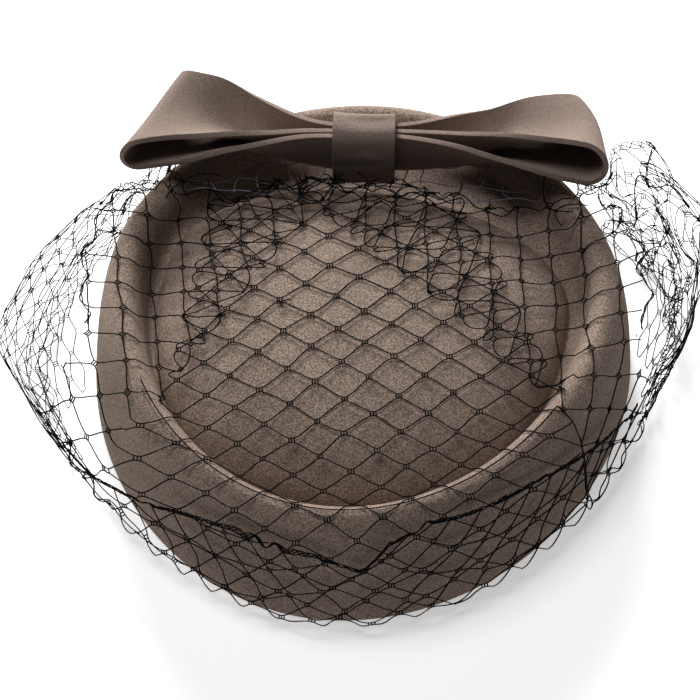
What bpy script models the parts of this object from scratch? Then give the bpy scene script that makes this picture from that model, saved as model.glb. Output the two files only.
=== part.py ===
"""A felt pillbox hat with a folded felt bow and a net veil, in metres, +Z up.

The front of the hat faces -Y and its flat lower edge lies at z = 0.
The hat is one blocked piece of felt: a wall, a rolled rim, a groove and a domed top inside the rim.
The bow is one strip of felt closed to a ring, folded to a channel where the knot band pinches it.
The veil is a coarse diamond net, gathered under the bow and drawn over the top and down the wall.
"""

import math

import bmesh
import bpy
import numpy as np
from mathutils import Vector

# Hat
HAT_WIDTH = 0.200
FRONT_LENGTH = 0.1185
BACK_LENGTH = 0.0942
OUTLINE_FULLNESS = 1.93
RIM_HEIGHT = 0.048
RIM_INSET = 0.014
FELT = 0.0024
DOME_WIDTH = 0.150
DOME_FRONT = 0.0900
DOME_BACK = 0.0460
DOME_RISE = 0.0045
DOME_FULLNESS = 2.30
DOME_BULGE = 2.60
GROOVE_FRONT_DROP = 0.0200
GROOVE_SIDE_DROP = 0.0170
GROOVE_BACK_DROP = 0.0120
GROOVE_ROUND = 0.35

# Bow
STRIP_WIDTH = 0.040
BOW_FELT = 0.0020
BOW_TURN = math.radians(8.0)
BOW_OFFSET = -0.0095
BOW_BACK = 0.0525
BOW_RISE = 0.0188
LEFT_LOOP = 0.0890
RIGHT_LOOP = 0.0890
LEFT_OPENING = 0.0130
RIGHT_OPENING = 0.0160
LEFT_BACK_OPENING = 0.0090
RIGHT_BACK_OPENING = 0.0050
LEFT_TAPER = 0.23
RIGHT_TAPER = 0.07
LEFT_TILT = math.radians(-2.0)
RIGHT_TILT = math.radians(-6.0)
PINCH_GAP = 0.0006
KNOT_WIDTH = 0.0230
KNOT_FELT = 0.0020
KNOT_SQUARENESS = 6.0

# Veil
NET_BAR = 0.0013
NET_LIFT = 0.0026
VEIL_DIP = 0.0015
HEM_HEIGHT = 0.0050
HEM_OUT = 0.0030
GATHER_WIDTH = 0.118
GATHER_FORWARD = 0.0150
LEFT_SPREAD = math.radians(107.0)
RIGHT_SPREAD = math.radians(131.0)
LEFT_PUFF = 0.0300
RIGHT_PUFF = 0.0310
RIGHT_PUFF_RISE = 0.0090

# Fits and counts
KNOT_SLACK = 0.0006
MELT = 1e-6
HAT_STEPS = 54
STRIP_STEPS = 7
KNOT_STEPS = 20
NET_COLUMNS = 8
NET_ROWS = 5
NET_CUTS = 2
PATH_STEPS = 28

# The rim's section, from the lower edge up, over the crest and down to the groove.
RIM_SECTION = (
    {"inset": 0.00, "height": 0.00},
    {"inset": 0.00, "height": 0.07},
    {"inset": 0.10, "height": 0.34},
    {"inset": 0.22, "height": 0.60},
    {"inset": 0.38, "height": 0.80},
    {"inset": 0.58, "height": 0.935},
    {"inset": 0.82, "height": 0.992},
    {"inset": 1.02, "height": 1.00},
    {"inset": 1.22, "height": 0.955},
    {"inset": 1.37, "height": 0.86},
    {"inset": 1.46, "height": 0.75},
)

# Rings between the rim's foot and the dome's, as shares of the way, and rings up the dome.
GROOVE_RINGS = (0.30, 0.65)
DOME_RINGS = (1.0, 0.98, 0.93, 0.84, 0.71, 0.54, 0.32)

# The strip's section at places along a loop, from the knot to the loop's end.
# forward and rise place its front edge, as shares of STRIP_WIDTH, from the knot and from the bow's top.
# leg is how steeply its edges stand, in degrees, and bend how much of its half width is curved.
# open is the share of the loop's own opening.
LOOP_SECTIONS = (
    {"place": 0.00, "forward": 0.00, "rise": 0.00, "leg": 90.0, "bend": 0.30, "open": 0.00},
    {"place": 0.15, "forward": 0.00, "rise": 0.00, "leg": 89.0, "bend": 0.31, "open": 0.01},
    {"place": 0.35, "forward": 0.04, "rise": 0.00, "leg": 76.0, "bend": 0.42, "open": 0.14},
    {"place": 0.55, "forward": 0.10, "rise": -0.03, "leg": 54.0, "bend": 0.65, "open": 0.42},
    {"place": 0.78, "forward": 0.18, "rise": -0.08, "leg": 27.0, "bend": 0.95, "open": 0.80},
    {"place": 1.00, "forward": 0.24, "rise": -0.13, "leg": 8.0, "bend": 1.00, "open": 1.00},
)
LEFT = {
    "side": -1.0,
    "length": LEFT_LOOP,
    "opening": LEFT_OPENING,
    "back_opening": LEFT_BACK_OPENING,
    "taper": LEFT_TAPER,
    "tilt": LEFT_TILT,
}
RIGHT = {
    "side": 1.0,
    "length": RIGHT_LOOP,
    "opening": RIGHT_OPENING,
    "back_opening": RIGHT_BACK_OPENING,
    "taper": RIGHT_TAPER,
    "tilt": RIGHT_TILT,
}
TILT_PLACE = 0.6
STRIP_PLACES = (0.0, 0.07, 0.14, 0.21, 0.29, 0.38, 0.48, 0.59, 0.71, 0.83)
NOSE_TURNS = (0.0, 30.0, 60.0, 90.0, 120.0, 150.0, 180.0)

# How far the veil stands out from the wall, at angles in degrees from the front round each side.
LEFT_PUFFS = (
    {"angle": 20.0, "out": 0.00},
    {"angle": 40.0, "out": 0.25},
    {"angle": 57.0, "out": 0.58},
    {"angle": 74.0, "out": 1.00},
    {"angle": 90.0, "out": 0.70},
    {"angle": 107.0, "out": 0.40},
)
RIGHT_PUFFS = (
    {"angle": 50.0, "out": 0.00},
    {"angle": 70.0, "out": 0.08},
    {"angle": 87.0, "out": 0.30},
    {"angle": 96.0, "out": 0.57},
    {"angle": 108.0, "out": 0.82},
    {"angle": 119.0, "out": 1.00},
    {"angle": 131.0, "out": 0.90},
)


def column(rows, name):
    return np.array([row[name] for row in rows])


def smooth(value):
    """0 below 0, 1 above 1, and a soft S between."""
    t = np.clip(value, 0.0, 1.0)
    return t * t * (3.0 - 2.0 * t)


def superellipse(theta, half_width, front, back, fullness):
    """Radius at each angle of an outline with its own length before and behind its centre."""
    length = np.where(np.sin(theta) < 0.0, front, back)
    across, along = np.abs(np.cos(theta)) / half_width, np.abs(np.sin(theta)) / length
    return (across**fullness + along**fullness) ** (-1.0 / fullness)


def outline(theta):
    return superellipse(theta, HAT_WIDTH / 2, FRONT_LENGTH, BACK_LENGTH, OUTLINE_FULLNESS)


def dome_outline(theta):
    return superellipse(theta, DOME_WIDTH / 2, DOME_FRONT, DOME_BACK, DOME_FULLNESS)


def groove_height(theta):
    """The groove is deepest in front and shallowest behind."""
    front, back = np.clip(-np.sin(theta), 0, 1) ** 2, np.clip(np.sin(theta), 0, 1) ** 2
    side = 1.0 - front - back
    drop = GROOVE_SIDE_DROP * side + GROOVE_FRONT_DROP * front + GROOVE_BACK_DROP * back
    return RIM_HEIGHT - drop


def dome_height(theta, share):
    """Height at a share of the way from the dome's middle to its foot."""
    foot = groove_height(theta)
    return foot + (RIM_HEIGHT + DOME_RISE - foot) * np.sqrt(1.0 - np.minimum(share, 1.0) ** DOME_BULGE)


def ring(theta, radius, height):
    return np.stack([radius * np.cos(theta), radius * np.sin(theta), height + 0.0 * theta], axis=-1)


def hat_rings(theta):
    """The felt's outer face as rings of points, from the lower edge to the middle of the dome."""
    rings = [
        ring(theta, outline(theta) - row["inset"] * RIM_INSET, row["height"] * RIM_HEIGHT)
        for row in RIM_SECTION
    ]
    foot, fall = dome_outline(theta), RIM_SECTION[-1]["height"] * RIM_HEIGHT - groove_height(theta)
    start = outline(theta) - RIM_SECTION[-1]["inset"] * RIM_INSET
    for share in GROOVE_RINGS:
        height = groove_height(theta) + GROOVE_ROUND * fall * (1.0 - share) ** 2
        rings.append(ring(theta, start + (foot - start) * share, height))
    rings += [ring(theta, foot * share, dome_height(theta, share)) for share in DOME_RINGS]
    rings.append(ring(theta, 0.0 * theta, dome_height(theta, 0.0)))
    return rings


def felt_height(x, y):
    """Height of the felt's upper face over a point."""
    theta, radius = np.arctan2(y, x), np.hypot(x, y)
    inset = (outline(theta) - radius) / RIM_INSET
    rim = RIM_HEIGHT * np.interp(inset, column(RIM_SECTION, "inset"), column(RIM_SECTION, "height"))
    share = radius / dome_outline(theta)
    inside = inset > RIM_SECTION[-1]["inset"]
    return np.where(share < 1.0, dome_height(theta, share), np.where(inside, groove_height(theta), rim))


def tube_mesh(name, rows, closed_rows):
    """A grid primitive laid over rows of points, each row joined end to start.

    closed_rows joins the last row to the first as well.
    """
    count, length = len(rows), len(rows[0])
    steps = count if closed_rows else count - 1
    work = bmesh.new()
    bmesh.ops.create_grid(work, x_segments=steps, y_segments=length, size=1.0)
    for vertex in work.verts:
        i = round((vertex.co.x + 1.0) / 2.0 * steps) % count
        j = round((vertex.co.y + 1.0) / 2.0 * length) % length
        vertex.co = Vector(rows[i][j])
    bmesh.ops.remove_doubles(work, verts=work.verts, dist=MELT)
    bmesh.ops.recalc_face_normals(work, faces=work.faces)
    mesh = bpy.data.meshes.new(name)
    work.to_mesh(mesh)
    work.free()
    return mesh


def cloth(name, colour, roughness):
    made = bpy.data.materials.new(name)
    made.use_nodes = True
    shader = made.node_tree.nodes["Principled BSDF"]
    shader.inputs["Base Color"].default_value = (*colour, 1.0)
    shader.inputs["Roughness"].default_value = roughness
    shader.inputs["Metallic"].default_value = 0.0
    return made


def add(name, mesh, finish, collection):
    piece = bpy.data.objects.new(name, mesh)
    mesh.materials.append(finish)
    collection.objects.link(piece)
    mesh.shade_smooth()
    mesh.set_sharp_from_angle(angle=math.radians(50))
    return piece


def give_thickness(piece, thickness, offset):
    wall = piece.modifiers.new("felt", "SOLIDIFY")
    wall.thickness = thickness
    wall.offset = offset


def make_hat(finish, collection):
    theta = np.linspace(0.0, 2.0 * math.pi, HAT_STEPS, endpoint=False)
    hat = add("hat_body", tube_mesh("hat_body", hat_rings(theta), False), finish, collection)
    give_thickness(hat, FELT, -1.0)


def read(rows, name, place):
    """A column of a table, read as a smooth curve through its rows."""
    places, values = column(rows, "place"), column(rows, name)
    slopes = np.gradient(values, places)
    i = int(np.clip(np.searchsorted(places, place, side="right") - 1, 0, len(places) - 2))
    step = places[i + 1] - places[i]
    t = min(max((place - places[i]) / step, 0.0), 1.0)
    from_row = (2.0 * t - 3.0) * t * t + 1.0
    start_slope, end_slope = t * (1.0 - t) ** 2 * step, t * t * (t - 1.0) * step
    value = from_row * values[i] + (1.0 - from_row) * values[i + 1]
    return value + start_slope * slopes[i] + end_slope * slopes[i + 1]


def folded_section(leg, bend, tilt=0.0, points=8 * STRIP_STEPS + 1):
    """The strip's middle line across its width, from the front edge: how far back, how far up, its slope.

    It falls, turns in a bend and rises again. Its slope is a sine over the bend, added to the tilt.
    """
    width = np.linspace(-0.5, 0.5, points) * STRIP_WIDTH
    slope = tilt + leg * np.sin(math.pi / 2 * np.clip(width / (bend * STRIP_WIDTH / 2), -1, 1))
    middle, step = (slope[1:] + slope[:-1]) / 2, STRIP_WIDTH / (points - 1)
    back = np.concatenate([[0.0], np.cumsum(np.cos(middle) * step)])
    up = np.concatenate([[0.0], np.cumsum(np.sin(middle) * step)])
    return back, up, slope


def pinched_depth():
    """From the front edge of the folded strip to its back edge, where the knot pinches it."""
    knot = LOOP_SECTIONS[0]
    return folded_section(math.radians(knot["leg"]), knot["bend"])[0][-1]


def strip_row(loop, place, layer):
    """Points across the strip at a place along a loop. layer goes from 1, above, to -1, below."""
    leg = math.radians(read(LOOP_SECTIONS, "leg", place))
    tilt = loop["tilt"] * smooth(place / TILT_PLACE)
    back, up, slope = folded_section(leg, read(LOOP_SECTIONS, "bend", place), tilt)
    share = np.linspace(0.0, 1.0, len(slope))
    closed, opening = BOW_FELT + PINCH_GAP, loop["opening"] + (loop["back_opening"] - loop["opening"]) * share
    apart = layer / 2 * (closed + (opening - closed) * read(LOOP_SECTIONS, "open", place))
    y = back - pinched_depth() / 2 - read(LOOP_SECTIONS, "forward", place) * STRIP_WIDTH
    z = up + RIM_HEIGHT + BOW_RISE + read(LOOP_SECTIONS, "rise", place) * STRIP_WIDTH
    x = loop["side"] * place * loop["length"] * (1.0 - loop["taper"] * share * smooth(place))
    row = np.stack([x, y - np.sin(slope) * apart, z + np.cos(slope) * apart], axis=-1)
    return row[::8]


def loop_rows(loop):
    """The strip along one loop: out above, round the loop's end and back below."""
    nose = loop["opening"] / 2 / loop["length"]
    flat = [place * (1.0 - nose) for place in STRIP_PLACES]
    rows = [strip_row(loop, place, 1.0) for place in flat]
    for turn in np.radians(NOSE_TURNS):
        rows.append(strip_row(loop, 1.0 - nose + nose * math.sin(turn), math.cos(turn)))
    return rows + [strip_row(loop, place, -1.0) for place in flat[::-1]]


def bow_to_hat(points):
    """From the bow's own place to where it sits on the hat, turned and set off the middle line."""
    x, y, z = points[..., 0], points[..., 1], points[..., 2]
    cosine, sine = math.cos(BOW_TURN), math.sin(BOW_TURN)
    return np.stack([BOW_OFFSET + cosine * x - sine * y, BOW_BACK + sine * x + cosine * y, z], axis=-1)


def make_bow(finish, collection):
    rows = bow_to_hat(np.array(loop_rows(LEFT) + loop_rows(RIGHT)[::-1][1:-1]))
    strip_rows = list(np.transpose(rows, (1, 0, 2)))
    strip = add("bow_strip", tube_mesh("bow_strip", strip_rows, False), finish, collection)
    give_thickness(strip, BOW_FELT, 0.0)


def make_knot(finish, collection):
    """The band that pinches the strip: a rounded ring round the folded section."""
    below = strip_row(RIGHT, 0.0, -1.0)
    reach = BOW_FELT / 2 + KNOT_SLACK + KNOT_FELT / 2
    low, high = below[:, 2].min(), RIM_HEIGHT + BOW_RISE
    corner = 2.0 ** (1.0 / KNOT_SQUARENESS)
    half_depth, half_height = (np.abs(below[:, 1]).max() + reach) * corner, (high - low) / 2 + reach
    half_height = half_height * (3.0 + corner) / 4
    theta = np.linspace(0.0, 2.0 * math.pi, KNOT_STEPS, endpoint=False)
    radius = superellipse(theta, half_depth, half_height, half_height, KNOT_SQUARENESS)
    rows = []
    for share in (-1.0, -0.5, 0.0, 0.5, 1.0):
        y, z = radius * np.cos(theta), (high + low) / 2 + radius * np.sin(theta)
        rows.append(np.stack([share * KNOT_WIDTH / 2 + 0.0 * theta, y, z], axis=-1))
    knot = add("bow_knot", tube_mesh("bow_knot", bow_to_hat(np.array(rows)), False), finish, collection)
    give_thickness(knot, KNOT_FELT, 0.0)


def puffs(rows, angle):
    return np.interp(angle, np.radians(column(rows, "angle")), column(rows, "out"))


def spanned(along, height):
    """The lowest line over a path that sags nowhere: the upper envelope of its chords."""
    over = height.copy()
    steps = along.shape[1]
    for i in range(steps - 2):
        for j in range(i + 2, steps):
            inner = slice(i + 1, j)
            share = (along[:, inner] - along[:, i, None]) / (along[:, j, None] - along[:, i, None])
            chord = height[:, i, None] + (height[:, j] - height[:, i])[:, None] * share
            over[:, inner] = np.maximum(over[:, inner], chord)
    return over


def veil_paths(across):
    """Lines down the veil, for across from -1 at its left edge to 1 at its right edge.

    Each runs straight in plan from the gathers to the rim's crest, stretched over the dome and the rim,
    and then down the wall to the hem, standing out from it by the puffs.
    """
    middle, half = (RIGHT_SPREAD - LEFT_SPREAD) / 2, (RIGHT_SPREAD + LEFT_SPREAD) / 2
    angle = middle + half * across
    theta = angle - math.pi / 2
    gathers = np.stack([across * GATHER_WIDTH / 2, -GATHER_FORWARD + 0.0 * across, 0.0 * across], axis=-1)
    gathers = bow_to_hat(gathers)
    crest = ring(theta, outline(theta) - RIM_INSET, 0.0)
    share = np.linspace(0.0, 1.0, PATH_STEPS)[None, :, None]
    top = gathers[:, None] + (crest - gathers)[:, None] * share
    height = felt_height(top[..., 0], top[..., 1])
    height[:, 0] = np.maximum(height[:, 0], RIM_HEIGHT)
    run = np.linalg.norm(top - top[:, :1], axis=-1)
    top[..., 2] = np.maximum(height, spanned(run, height) - VEIL_DIP) + NET_LIFT
    down = np.linspace(0.0, 1.0, PATH_STEPS)[None, 1:]
    section = RIM_SECTION[7::-1]
    rows = np.linspace(0.0, 1.0, len(section))
    inset = np.interp(down, rows, column(section, "inset")) * RIM_INSET
    height = np.interp(down, rows, column(section, "height")) * (RIM_HEIGHT - HEM_HEIGHT) + HEM_HEIGHT
    left, right = puffs(LEFT_PUFFS, -angle) * LEFT_PUFF, puffs(RIGHT_PUFFS, angle) * RIGHT_PUFF
    swell = np.sin(math.pi * down**1.2) + 0.45 * down**2
    radius = outline(theta)[:, None] - inset + NET_LIFT * smooth(3.0 * down) + HEM_OUT * down
    radius = radius + (left + right)[:, None] * swell
    height = height + NET_LIFT * (1.0 - smooth(3.0 * down))
    height = height + (right / RIGHT_PUFF)[:, None] * RIGHT_PUFF_RISE * np.sin(math.pi * down) ** 2
    wall = ring(theta[:, None] + 0.0 * down, radius, height)
    return np.concatenate([top, wall], axis=1)


def along_path(path, share):
    """The point at a share of a path's length."""
    run = np.concatenate([[0.0], np.cumsum(np.linalg.norm(np.diff(path, axis=0), axis=1))])
    return Vector([float(np.interp(share * run[-1], run, path[:, k])) for k in range(3)])


def make_veil(finish, collection):
    """A grid turned into diamonds, each side split, laid over the hat and cut through between the bars."""
    work = bmesh.new()
    bmesh.ops.create_grid(work, x_segments=NET_COLUMNS, y_segments=NET_ROWS, size=1.0)
    square_sides = [edge for edge in work.edges if not edge.is_boundary]
    bmesh.ops.poke(work, faces=work.faces)
    bmesh.ops.dissolve_edges(work, edges=square_sides, use_verts=False)
    for edge in list(work.edges):
        rest = edge
        start = edge.verts[0]
        for left_over in range(NET_CUTS, 0, -1):
            rest, start = split_side(rest, start, 1.0 / (left_over + 1))
    work.verts.ensure_lookup_table()
    flat = np.array([vertex.co[:2] for vertex in work.verts])
    paths = veil_paths(flat[:, 0])
    for vertex, path, place in zip(work.verts, paths, (1.0 - flat[:, 1]) / 2.0):
        vertex.co = along_path(path, place)
    bmesh.ops.inset_individual(work, faces=work.faces, thickness=NET_BAR / 2, use_even_offset=False)
    gaps = [face for face in work.faces if all(len(edge.link_faces) == 2 for edge in face.edges)]
    gaps = [face for face in gaps if len(face.verts) > 4]
    bmesh.ops.delete(work, geom=gaps, context="FACES_ONLY")
    mesh = bpy.data.meshes.new("veil")
    work.to_mesh(mesh)
    work.free()
    veil = add("veil", mesh, finish, collection)
    give_thickness(veil, NET_BAR, 0.0)


def split_side(edge, start, share):
    """Splits an edge at a share of its length from start. Returns the far part and the new point."""
    made, point = bmesh.utils.edge_split(edge, start, share)
    far = edge if start not in edge.verts else made
    return far, point


def centre_on_floor(collection):
    """Puts the origin under the middle of the whole object."""
    graph = bpy.context.evaluated_depsgraph_get()
    corners = []
    for piece in collection.objects:
        shape = piece.evaluated_get(graph)
        corners += [vertex.co[:] for vertex in shape.data.vertices]
    low, high = np.min(corners, axis=0), np.max(corners, axis=0)
    shift = Vector([-(low[0] + high[0]) / 2, -(low[1] + high[1]) / 2, -low[2]])
    for piece in collection.objects:
        for vertex in piece.data.vertices:
            vertex.co += shift
        piece.data.update()


def main():
    for thing in list(bpy.data.objects):
        bpy.data.objects.remove(thing)
    hat = bpy.data.collections.new("pillbox_hat")
    bpy.context.scene.collection.children.link(hat)
    make_hat(cloth("hat_felt", (0.270, 0.180, 0.140), 0.95), hat)
    bow_felt = cloth("bow_felt", (0.235, 0.155, 0.125), 0.95)
    make_bow(bow_felt, hat)
    make_knot(bow_felt, hat)
    make_veil(cloth("veil_net", (0.012, 0.012, 0.014), 0.75), hat)
    centre_on_floor(hat)


main()
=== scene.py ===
"""A felt pillbox hat with a bow and a net veil, dressed over its CAD frame as a Blender add-on.

Every piece stands in the frame's coordinates, in metres. The front of the hat faces -Y.
"""

import math

import bpy
import numpy as np
from bpy.props import FloatProperty, FloatVectorProperty, PointerProperty
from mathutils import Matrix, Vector


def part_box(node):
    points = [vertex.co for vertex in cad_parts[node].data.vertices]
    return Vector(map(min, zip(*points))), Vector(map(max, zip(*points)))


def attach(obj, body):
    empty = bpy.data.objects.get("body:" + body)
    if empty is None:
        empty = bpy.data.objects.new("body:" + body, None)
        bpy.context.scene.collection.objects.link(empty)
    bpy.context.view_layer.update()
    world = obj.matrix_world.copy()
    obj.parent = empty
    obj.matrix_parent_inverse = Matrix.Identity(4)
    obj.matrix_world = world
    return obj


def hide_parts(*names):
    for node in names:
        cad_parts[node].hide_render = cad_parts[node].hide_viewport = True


bl_info = {
    "name": "Pillbox Hat",
    "version": (1, 0, 0),
    "blender": (4, 5, 0),
    "location": "3D View > Sidebar > Hat",
    "description": "Builds the felt, the bow, the net veil and the stage of a pillbox hat",
    "category": "Add Mesh",
}

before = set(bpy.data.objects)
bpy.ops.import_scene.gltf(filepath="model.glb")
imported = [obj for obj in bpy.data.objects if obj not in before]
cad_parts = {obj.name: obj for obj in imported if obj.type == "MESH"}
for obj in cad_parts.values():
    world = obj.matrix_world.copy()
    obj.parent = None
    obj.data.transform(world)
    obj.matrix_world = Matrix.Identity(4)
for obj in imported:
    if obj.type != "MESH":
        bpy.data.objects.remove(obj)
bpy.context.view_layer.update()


def table(names, rows):
    """Rows of numbers as dictionaries, with their columns named in one string."""
    return [dict(zip(names.split(), row)) for row in rows]


# Hat, as the frame has it
HAT_WIDTH = 0.200
FRONT_LENGTH = 0.1185
BACK_LENGTH = 0.0942
OUTLINE_FULLNESS = 1.93
RIM_HEIGHT = 0.048
RIM_INSET = 0.014
DOME_WIDTH = 0.150
DOME_FRONT = 0.0900
DOME_BACK = 0.0460
DOME_HEIGHT = 0.0525
DOME_FULLNESS = 2.30
DOME_BULGE = 2.60
GROOVE_FRONT = 0.0280
GROOVE_SIDE = 0.0310
GROOVE_BACK = 0.0360
GROOVE_ROUND = 0.35
# The felt's way up the wall, over the crest and down inside it, in shares of the rim's inset and height
RIM_SECTION = table("inset height", (
    (0.00, 0.00), (0.00, 0.07), (0.10, 0.34), (0.22, 0.60), (0.38, 0.80), (0.58, 0.935),
    (0.82, 0.992), (1.02, 1.00), (1.22, 0.955), (1.37, 0.86), (1.46, 0.75),
))
CREST_ROW = 7
GROOVE_RINGS = (0.30, 0.65)
DOME_RINGS = (1.0, 0.98, 0.93, 0.84, 0.71, 0.54, 0.32, 0.12)
FELT_COLUMNS = 108

# Bow: the frame's strip, fitted closer to the photo by its tilt, sag, rounding and width
STRIP_WIDTH = 0.040
BOW_TURN = math.radians(8.0)
BOW_OFFSET = -0.0095
BOW_BACK = 0.0525
BOW_TOP = 0.0668
LEFT_LOOP, RIGHT_LOOP = table("side length opening back taper round tilt sag late", (
    (-1.0, 0.0890, 0.0130, 0.0080, 0.20, 0.02, 5.0, 0.035, 1.35),
    (1.0, 0.0890, 0.0160, 0.0050, 0.035, 0.065, -8.0, -0.010, 0.85),
))
# The place along a loop, from 0 at the knot to 1 at its end, where its tilt and sag are whole
TILT_PLACE = 0.6
LOOP_SECTIONS = table("place forward rise leg bend open width", (
    (0.00, 0.00, 0.00, 90.0, 0.30, 0.00, 1.00),
    (0.15, 0.00, 0.00, 89.0, 0.31, 0.01, 0.99),
    (0.35, 0.04, 0.00, 76.0, 0.42, 0.14, 0.93),
    (0.55, 0.10, -0.03, 54.0, 0.65, 0.42, 0.89),
    (0.78, 0.18, -0.08, 27.0, 0.95, 0.80, 0.94),
    (1.00, 0.24, -0.13, 8.0, 1.00, 1.00, 1.00),
))
# The share of its width that the strip's lower layer lacks at the knot, and where on the loop that ends
LOWER_SHORT = 0.09
LOWER_SHORT_FROM = 0.35
LOWER_SHORT_OVER = 0.55
# How much later the layers part at the strip's back edge than at its front
BACK_LATE = 2.6
PINCH_GAP = 0.0006
LOOP_WAVE = 0.0005
KNOT_WIDTH = 0.0230
KNOT_SLACK = 0.0006
KNOT_SQUARENESS = 4.0
KNOT_BACK_TAPER = 0.50
KNOT_FLARE = 0.05
KNOT_WAVE = 0.00035
KNOT_ROWS = 25
KNOT_COLUMNS = 120

# Veil, as the frame has it
HEM_HEIGHT = 0.0050
HEM_OUT = 0.0030
GATHER_BACK = 0.0100
LEFT_SPREAD = math.radians(107.0)
LEFT_END = math.radians(121.0)
RIGHT_SPREAD = math.radians(131.0)
LEFT_PUFF = 0.0300
RIGHT_PUFF = 0.0310
RIGHT_PUFF_RISE = 0.0090
LEFT_PUFFS = table("angle out", (
    (20.0, 0.00), (40.0, 0.25), (57.0, 0.58), (74.0, 1.00), (90.0, 0.70), (107.0, 0.34), (121.0, 0.12),
))
RIGHT_PUFFS = table("angle out", (
    (50.0, 0.00), (70.0, 0.08), (87.0, 0.30), (96.0, 0.57), (108.0, 0.82), (119.0, 1.00), (131.0, 0.90),
))

# The net's lines down the wall: their number, their points down and up again, and their even step
WALL_COLUMNS = 253
WALL_STEPS = 40
FOLD_STEPS = 32
WALL_STEP = 0.001
# How much of a puff is left at the hem, how far the fold bulges there, and where the outer layer lies
HEM_PUFF = 0.45
HEM_ROUND = 0.0025
OUTER_GAP = 0.003
OUTER_PUFF = 0.8
OUTER_LOW = 0.0022

# The net's darts, in plan: two fold lines run from an apex at the rim to the bow, at angles in degrees
LEFT_DART = {"apex": (-0.0604, -0.0709), "side": 1.0, "outer": 92.0, "inner": 66.5}
RIGHT_DART = {"apex": (0.0886, -0.0568), "side": -1.0, "outer": 121.0, "inner": 145.5}
DART_FADE = 0.02
DART_SETTLE = 0.012
# How far before the right dart's outer line its roundness starts
DART_NEAR = 0.004

# How the net hangs down the wall: how its hanging lines turn on the flat net, by azimuth from the front
HANG = table("azimuth turn", (
    (-107.0, -54.0), (-90.0, -38.0), (-60.0, -14.0), (-40.0, -7.0),
    (0.0, 6.0), (57.0, 18.0), (90.0, 40.0), (131.0, 78.0),
))

# A knot of the net over the dome, in plan, and the way across and the rows that cover the hat from it
NET_START = (-0.0180, -0.0159)
NET_ACROSS = (-0.30, 0.30)
NET_ROWS = (-22, 44)
# The step along a thread, and the gaps past which a thread or a knot's wrap is left out as torn
THREAD_STEP = 0.0011
THREAD_TEAR = 0.006
WRAP_TEAR = 0.002

# How the net sinks into the groove in front of the bow: where, over what way, how wide and how deep
GROOVE_DIP = {"start": -0.0230, "over": 0.0110, "half_width": 0.066, "fade": 0.012, "depth": 0.0120}

# How the net ruffles towards the bow: the way over which that starts, its sideways stray and its lift
RUFFLE = {"reach": 0.025, "stray": 0.0022, "lift": 0.0045, "wave": 0.003}

# Behind the left side's end the net on top stops short of the rim: the turn past it and the share left
BEHIND_TURN = 0.15
BEHIND_SHARE = 0.72

# The height that the net, folded up at its hem, reaches on the wall, by angle in degrees from the front
SELVEDGE = table("angle height", (
    (-121.0, 0.0400), (-107.0, 0.0340), (-92.0, 0.0160), (-74.0, 0.0100), (-60.0, 0.0090),
    (-45.0, 0.0150), (-25.0, 0.0330), (-13.0, 0.0400), (2.0, 0.0385), (9.5, 0.0315), (14.0, 0.0420),
    (21.0, 0.0460), (44.0, 0.0410), (58.0, 0.0330), (75.0, 0.0220), (100.0, 0.0280), (131.0, 0.0330),
))

# The runs of the net's finished edge: angles in degrees from the front
SELVEDGE_RUNS = table("start end threads loose", (
    (-105.0, -66.0, 2, True), (-62.0, 78.0, 4, False), (86.0, 112.0, 2, True),
))
SELVEDGE_STEP = 0.26
SELVEDGE_IN = 0.0012
SELVEDGE_PAST = 0.001
SELVEDGE_PHASES = (0.0, 1.6, 3.1, 4.7)
# How wide its threads wind, and how much wider in the tangle at the front, in degrees
WIND_WIDTH = 0.0005
TANGLE = {"width": 0.0011, "angle": 7.0, "spread": 6.0}

# The loose sides, where the net is drawn out along the hat's edge: angles in degrees from the front,
# the way down from the crest where they start, the cells' size along the edge and down, how far they
# are crumpled, and the share of their way along where that grows
LEFT_WING, RIGHT_WING = table("side start end top cell_length cell_depth crumple calm", (
    (-1.0, 52.0, 120.5, 0.017, 0.0190, 0.0075, 0.0078, 0.58),
    (1.0, 80.0, 131.0, 0.014, 0.0160, 0.0066, 0.0095, 0.10),
))
WING_RADIUS = 0.125
WING_THREAD = 0.66
# The end of a loose side: its place along, and the threads that wind there, with their waves in radians
WING_EDGE = {"place": 0.985, "threads": 3, "wind": 0.0007, "step": 0.0012, "waves": 900.0, "phase": 2.1}
# How far after the left side's start, in degrees, it takes over from the net on top
WING_LATE = 8.0
# The crumples' wave lengths and seeds, outwards, along and up, and how far each way they push
CRUMPLES = ((0.044, 1.0), (0.036, 4.0), (0.040, 7.0))
CRUMPLE_OUT, CRUMPLE_IN, CRUMPLE_UP = 0.7, 0.4, 0.8
# The share of the crumples in the calm part, and the way down over which they start
CALM_SHARE = 0.12
CRUMPLE_OVER = 0.012
# Near its end a loose side starts higher up: by which share, from which place and over what part
WING_CLIMB, CLIMB_FROM, CLIMB_OVER = 0.75, 0.72, 0.2
WING_LAST = 0.992
NET_CLEAR = 0.0008
# How far past the crest the net on top reaches at the loose sides, and how far that strays
RIM_REACH = 0.0150
RIM_STRAY = 0.002

# The net's gathered edge, which rises out of the groove to the bow: in the bow's own directions
GATHER_ENDS = (-0.0680, 0.0660)
GATHER_ROWS = table("share back height", (
    (0.00, -0.0140, 0.0440), (0.50, -0.0080, 0.0455), (1.00, -0.0030, 0.0510),
))
GATHER_LEVELS = (0.05, 0.45, 0.92)
GATHER_CELL = 0.0102
GATHER_WAVE = 0.0016

# Where loose ends of thread stand up in a tuft: on the hat, in plan, with their length and number
TUFTS = table("x y height length ends", (
    (-0.0740, 0.0300, 0.0490, 0.0140, 8), (0.0640, 0.0400, 0.0490, 0.0120, 6),
    (-0.0262, -0.0235, 0.0530, 0.0040, 6),
))
GOLDEN_ANGLE = 2.39996

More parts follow.
